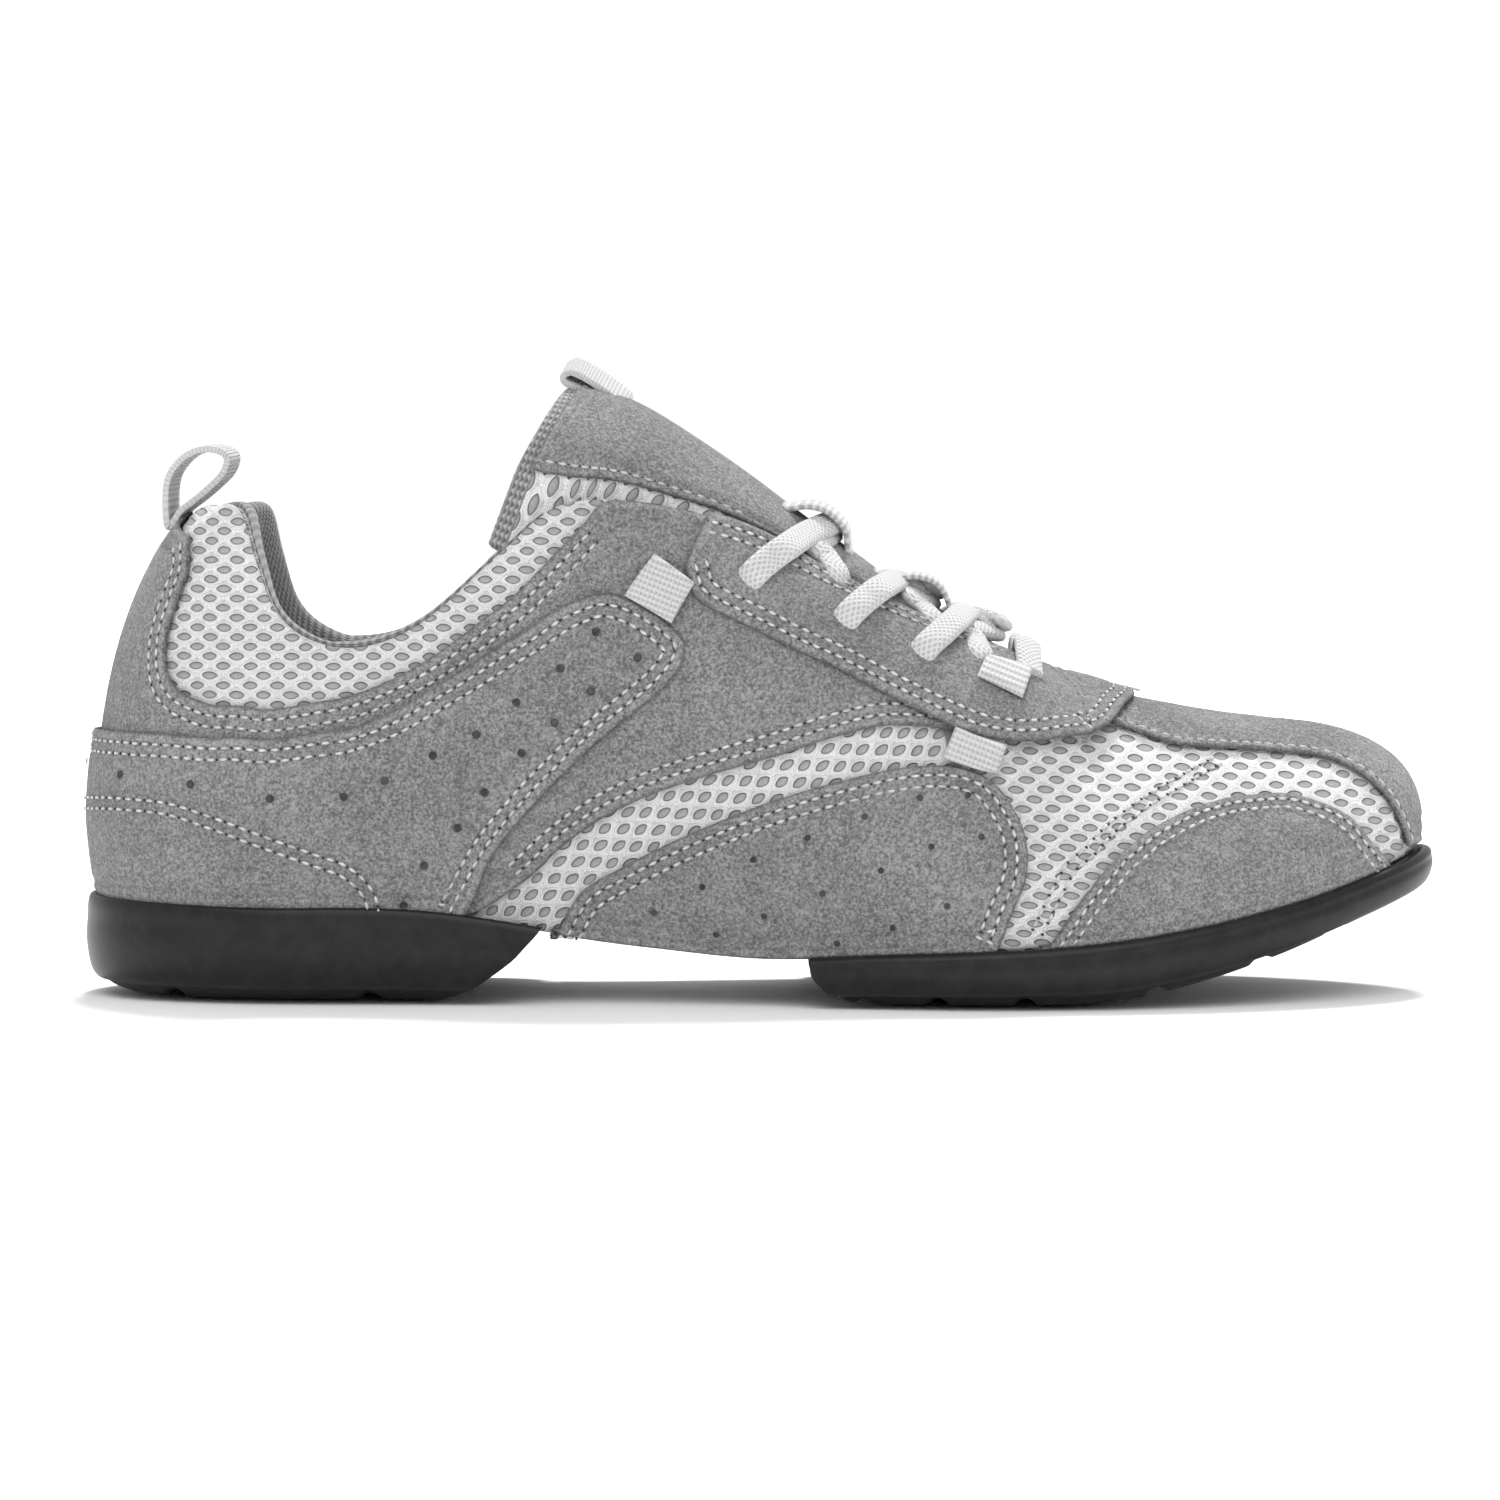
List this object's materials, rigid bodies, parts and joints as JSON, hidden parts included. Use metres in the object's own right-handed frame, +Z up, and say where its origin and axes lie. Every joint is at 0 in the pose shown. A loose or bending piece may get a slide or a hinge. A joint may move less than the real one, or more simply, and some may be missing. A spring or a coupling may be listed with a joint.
{
  "type": "dance sneaker",
  "caption": "Low split-sole dance sneaker with suede panels on mesh, padded tongue and collar, crossed laces and pull loops.",
  "frame": {"origin": "on the floor, at the centre of the heel's flat contact patch", "axes": "+X to the toe, +Y to the inner side of the foot, +Z up"},
  "size_m": [0.2692, 0.0922, 0.1222],
  "materials": {
    "mesh": "light open spacer mesh, matt",
    "suede": "mid-grey suede with a short nap",
    "rubber": "black, satin",
    "webbing": "light ribbed webbing",
    "lace": "light braided oval lace",
    "lining": "dark grey knit"
  },
  "bodies": {
    "root": {"upper": "mesh", "quarter": "suede", "heel_wing": "suede", "side_patch_outer": "suede", "side_patch_inner": "suede", "toe_guard_outer": "suede", "toe_guard_inner": "suede", "toe_strip": "suede", "eyestay": "suede", "tie_quarter_outer": "webbing", "tie_quarter_inner": "webbing", "tie_vamp_outer": "webbing", "tie_vamp_inner": "webbing", "tie_eyelet_outer": "webbing", "tie_eyelet_inner": "webbing", "heel_sole": "rubber", "forefoot_sole": "rubber", "insole": "lining", "collar_pad": "lining", "tongue": "suede", "heel_loop": "webbing", "tongue_loop": "webbing", "lace_crossing_1": "lace", "lace_crossing_2": "lace", "lace_crossing_3": "lace"}
  },
  "joints": []
}
